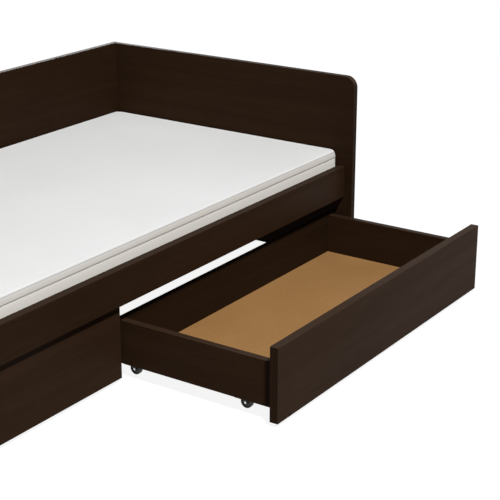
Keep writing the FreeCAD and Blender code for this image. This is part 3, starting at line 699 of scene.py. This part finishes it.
def sew_in(piece, shape, seam_level):
    """Pulls the cover in along its side seam and along the tuck under its top panel."""
    tuck_level = seam_level + shape.seam_drop - shape.edge_drop
    tuck_reach = 0.9 * MM
    step = 0.75                          # share of the seam's depth that the border hangs back
    normals = [vertex.normal.copy() for vertex in piece.data.vertices]
    for vertex, normal in zip(piece.data.vertices, normals):
        across = Vector((normal.x, normal.y, 0.0))
        if across.length < 0.3:
            continue
        above = vertex.co.z - seam_level
        if above > 0.0:
            seam = math.exp(-(2.0 * above / shape.seam_width) ** 2)
        else:
            # The border hangs from the stitching and comes back out slowly below it.
            close = math.exp(-(above / shape.seam_width) ** 2)
            slow = math.exp(-(above / shape.border_fall) ** 2)
            seam = (1.0 - step) * close + step * slow
        tuck = math.exp(-((vertex.co.z - tuck_level) / tuck_reach) ** 2)
        vertex.co -= across.normalized() * (shape.seam_depth * seam + shape.edge_tuck * tuck)


def ripple_cover(piece, shape, low, seam_level):
    """Small unevenness of a knitted cover, most beside the seam and none underneath."""
    fade_height = 20 * MM
    seam_reach = 9 * MM
    normals = [vertex.normal.copy() for vertex in piece.data.vertices]
    for vertex, normal in zip(piece.data.vertices, normals):
        point = vertex.co
        lift = min(1.0, max(0.0, (point.z - low.z) / fade_height))
        near_seam = math.exp(-((point.z - seam_level) / seam_reach) ** 2)
        broad, small = noise.noise(point * 6.0), noise.noise(point * 33.0)
        amount = 0.7 * broad + (0.3 + 0.9 * near_seam) * small
        vertex.co = point - normal * (shape.ripple * lift * (0.5 + 0.5 * amount))


def smooth_object(name, mesh):
    """Turns a finished mesh into an object with smooth shading."""
    data = bpy.data.meshes.new(name)
    mesh.normal_update()
    mesh.to_mesh(data)
    mesh.free()
    data.polygons.foreach_set("use_smooth", [True] * len(data.polygons))
    made = bpy.data.objects.new(name, data)
    bpy.context.scene.collection.objects.link(made)
    return made


def seam_path(low, high, inset, radius, count):
    """Evenly spaced points round a rectangle with round corners, each with its direction."""
    bend = radius - inset
    half = ((high.x - low.x) / 2 - inset - bend, (high.y - low.y) / 2 - inset - bend)
    middle = (low + high) / 2
    turn = bend * math.pi / 2
    runs = (2 * half[1], turn, 2 * half[0], turn) * 2
    corners = ((half[0], half[1]), (-half[0], half[1]), (-half[0], -half[1]), (half[0], -half[1]))
    total = sum(runs)
    path = []
    for k in range(count):
        left = total * k / count
        leg = 0
        while left > runs[leg]:
            left -= runs[leg]
            leg += 1
        side, on_turn = divmod(leg, 2)
        cx, cy = corners[side]
        angle = math.pi / 2 * side + (left / bend if on_turn else 0.0)
        out = Vector((math.cos(angle), math.sin(angle)))
        along = Vector((-out.y, out.x))
        spot = Vector((cx, cy)) + out * bend
        if not on_turn:
            spot -= along * (runs[leg] - left)
        path.append((Vector((middle.x + spot.x, middle.y + spot.y)), along, out))
    return path


def seam_stitches(shape, low, high, level):
    """Short threads laid in the seam's groove, one after another round the mattress."""
    perimeter = 2 * (high.x - low.x + high.y - low.y)
    inset = shape.seam_depth + 0.7 * MM
    path = seam_path(low, high, inset, shape.side_radius, round(perimeter / shape.stitch))
    mesh = bmesh.new()
    sides = 5
    for spot, along, out in path:
        rings = []
        for part, full in ((-0.36, 0.35), (0.0, 1.0), (0.36, 0.35)):
            centre = spot + along * (part * shape.stitch)
            ring = []
            for k in range(sides):
                angle = 2 * math.pi * k / sides
                side = out * (shape.thread_radius * full * math.cos(angle))
                up = shape.thread_radius * full * math.sin(angle)
                place = (centre.x + side.x, centre.y + side.y, level + up)
                ring.append(mesh.verts.new(place))
            rings.append(ring)
        for lower, upper in zip(rings, rings[1:]):
            for k in range(sides):
                n = (k + 1) % sides
                mesh.faces.new((lower[k], upper[k], upper[n], lower[n]))
        mesh.faces.new(rings[0])
        mesh.faces.new(list(reversed(rings[-1])))
    bmesh.ops.recalc_face_normals(mesh, faces=mesh.faces)
    return smooth_object("mattress_stitching", mesh)


class DAYBED_OT_mattress(bpy.types.Operator):
    """Makes the foam mattress in its knitted cover, with the stitched seam round its side"""
    bl_idname = "daybed.mattress"
    bl_label = "Make the mattress"

    def execute(self, context):
        shape = context.scene.daybed_mattress
        low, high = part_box("mattress")
        room = Vector((shape.bulge, shape.bulge, 0.0))
        low, high = low - room, high + room + Vector((0.0, 0.0, shape.crown))
        mesh, seam_level = mattress_mesh(shape, low, high)
        cover = smooth_object("mattress_cover", mesh)
        swell_cover(cover, shape, low, seam_level)
        sew_in(cover, shape, seam_level)
        ripple_cover(cover, shape, low, seam_level)
        top = knitted_cloth("knitted_top", shape.cover, 190.0, 0.35)
        # The border's paler, warmer cloth is painted light on the mattress's side.
        border = knitted_cloth("knitted_border_painted_lit", shape.border, 190.0, 0.35)
        cover.data.materials.append(top)
        cover.data.materials.append(border)
        top_panel = high.z - 0.5 * shape.swell - shape.edge_drop
        for face in cover.data.polygons:
            face.material_index = 0 if face.center.z > top_panel else 1
        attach(cover, "bed_frame")
        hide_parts("mattress")
        stitches = seam_stitches(shape, low, high, seam_level)
        stitches.data.materials.append(knitted_cloth("thread", shape.thread, 900.0, 0.5))
        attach(stitches, "bed_frame")
        return {"FINISHED"}


# ------------------------------------------------------------------ stage
def area_light(name, power, size, place, target):
    """A soft rectangular light that hangs at one place and looks at another."""
    data = bpy.data.lights.new(name, "AREA")
    data.shape = "RECTANGLE"
    data.size, data.size_y = size
    data.energy = power
    made = bpy.data.objects.new(name, data)
    made.location = place
    made.rotation_euler = (Vector(target) - Vector(place)).to_track_quat("-Z", "Y").to_euler()
    bpy.context.scene.collection.objects.link(made)
    return made


def seen_directly(tree):
    """One for what is looked at or mirrored, nought for what only lights the bed."""
    path = add(tree, "ShaderNodeLightPath")
    return math_node(tree, "MAXIMUM", path.outputs["Is Camera Ray"],
                     path.outputs["Is Glossy Ray"])


class DAYBED_OT_stage(bpy.types.Operator):
    """Sets the pale floor, the soft light and the camera"""
    bl_idname = "daybed.stage"
    bl_label = "Set the stage"

    def execute(self, context):
        scene = context.scene
        setup = scene.daybed_stage
        floor_mesh = bmesh.new()
        bmesh.ops.create_grid(floor_mesh, x_segments=1, y_segments=1, size=30.0)
        floor = smooth_object("studio_floor", floor_mesh)
        floor.location.z = -0.2 * MM     # just under the wheels and glides
        material, tree, shader, _ = new_material("studio_floor")
        shader.inputs["Base Color"].default_value = (*setup.floor, 1.0)
        shader.inputs["Roughness"].default_value = 0.9
        shader.inputs["Specular IOR Level"].default_value = 0.0
        shader.inputs["Emission Color"].default_value = (1.0, 1.0, 1.0, 1.0)
        tree.links.new(math_node(tree, "MULTIPLY", seen_directly(tree), setup.floor_glow),
                       shader.inputs["Emission Strength"])
        floor.data.materials.append(material)

        world = bpy.data.worlds.new("studio")
        world.use_nodes = True
        tree = world.node_tree
        back = next(n for n in tree.nodes if n.type == "BACKGROUND")
        back.inputs["Color"].default_value = (1.0, 1.0, 1.0, 1.0)
        tree.links.new(spread(tree, seen_directly(tree), 0.0, 1.0, setup.sky, 1.0),
                       back.inputs["Strength"])
        scene.world = world

        target = (0.1, -0.3, 0.2)        # about the middle of the bed and its open drawer
        area_light("key", setup.key, (1.0, 1.0), setup.key_from, target)
        area_light("back_light", setup.back, (3.0, 2.0), setup.back_from, target)

        camera_data = bpy.data.cameras.new("camera")
        camera_data.sensor_width = 36.0
        camera_data.lens = setup.lens
        camera = bpy.data.objects.new("camera", camera_data)
        camera.location = setup.eye
        camera.rotation_euler = (math.pi / 2 - setup.tilt, 0.0, -setup.heading)
        scene.collection.objects.link(camera)
        scene.camera = camera
        scene.view_settings.view_transform = "Standard"
        return {"FINISHED"}


STEPS = ("daybed.boards", "daybed.bottoms", "daybed.slats", "daybed.fittings",
         "daybed.mattress", "daybed.stage")


class DAYBED_PT_steps(bpy.types.Panel):
    """Lists the finishing steps in order"""
    bl_idname = "DAYBED_PT_steps"
    bl_label = "Daybed"
    bl_space_type = "VIEW_3D"
    bl_region_type = "UI"
    bl_category = "Daybed"

    def draw(self, context):
        for step in STEPS:
            self.layout.operator(step)


CLASSES = (BoardFinish, FittingFinish, MattressShape, StageSetup, DAYBED_OT_boards,
           DAYBED_OT_bottoms, DAYBED_OT_slats, DAYBED_OT_fittings, DAYBED_OT_mattress,
           DAYBED_OT_stage, DAYBED_PT_steps)
SETTINGS = {"daybed_boards": BoardFinish, "daybed_fittings": FittingFinish,
            "daybed_mattress": MattressShape, "daybed_stage": StageSetup}


def register():
    """Adds the settings, the steps and their panel."""
    for made in CLASSES:
        bpy.utils.register_class(made)
    for name, group in SETTINGS.items():
        setattr(bpy.types.Scene, name, PointerProperty(type=group))


def unregister():
    """Takes them away again."""
    for name in SETTINGS:
        delattr(bpy.types.Scene, name)
    for made in reversed(CLASSES):
        bpy.utils.unregister_class(made)


def main():
    """Runs every step in order."""
    register()
    for step in STEPS:
        family, name = step.split(".")
        getattr(getattr(bpy.ops, family), name)()


if __name__ == "__main__":
    main()
